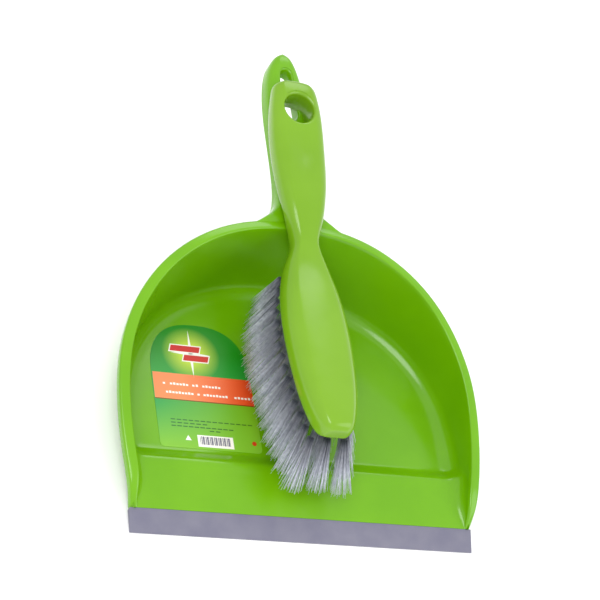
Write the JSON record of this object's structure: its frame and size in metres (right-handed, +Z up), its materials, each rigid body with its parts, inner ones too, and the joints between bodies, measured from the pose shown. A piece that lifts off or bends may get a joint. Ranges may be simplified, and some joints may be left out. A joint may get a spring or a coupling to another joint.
{
  "type": "dust pan and brush set",
  "caption": "Handheld dust pan with a high rounded back, ramped mouth and soft lip, and a long-handled soft hand brush that stows over its handle.",
  "frame": {"origin": "on the pan's flat underside, at the centre of its rounded back", "axes": "+X across the pan, +Y from the lip towards the handle, +Z up"},
  "size_m": [0.2372, 0.3097, 0.0894],
  "materials": {
    "pan_plastic": "moulded polypropylene, lime green, glossy",
    "brush_plastic": "moulded polypropylene, lime green, glossy",
    "lip_rubber": "matte grey thermoplastic elastomer",
    "label_film": "printed film sticker, satin",
    "bristle": "grey synthetic filament with flagged tips",
    "anchor_wire": "flat wire"
  },
  "bodies": {
    "pan": {"pan_tray": "pan_plastic", "pan_lip": "lip_rubber", "pan_label": "label_film"},
    "brush": {"brush_body": "brush_plastic", "tuft_anchors": "anchor_wire", "tufts_rank_01": "bristle", "tufts_rank_02": "bristle", "tufts_rank_03": "bristle", "tufts_rank_04": "bristle", "tufts_rank_05": "bristle", "tufts_rank_06": "bristle", "tufts_rank_07": "bristle", "tufts_rank_08": "bristle", "tufts_rank_09": "bristle", "tufts_rank_10": "bristle", "tufts_rank_11": "bristle", "tufts_rank_12": "bristle", "tufts_rank_13": "bristle", "tufts_rank_14": "bristle", "tufts_rank_15": "bristle"}
  },
  "joints": [
    {"name": "brush_lift", "type": "slide", "parent": "pan", "child": "brush", "axis": [0, 0, 1], "range_m": [0, 0.15]}
  ]
}
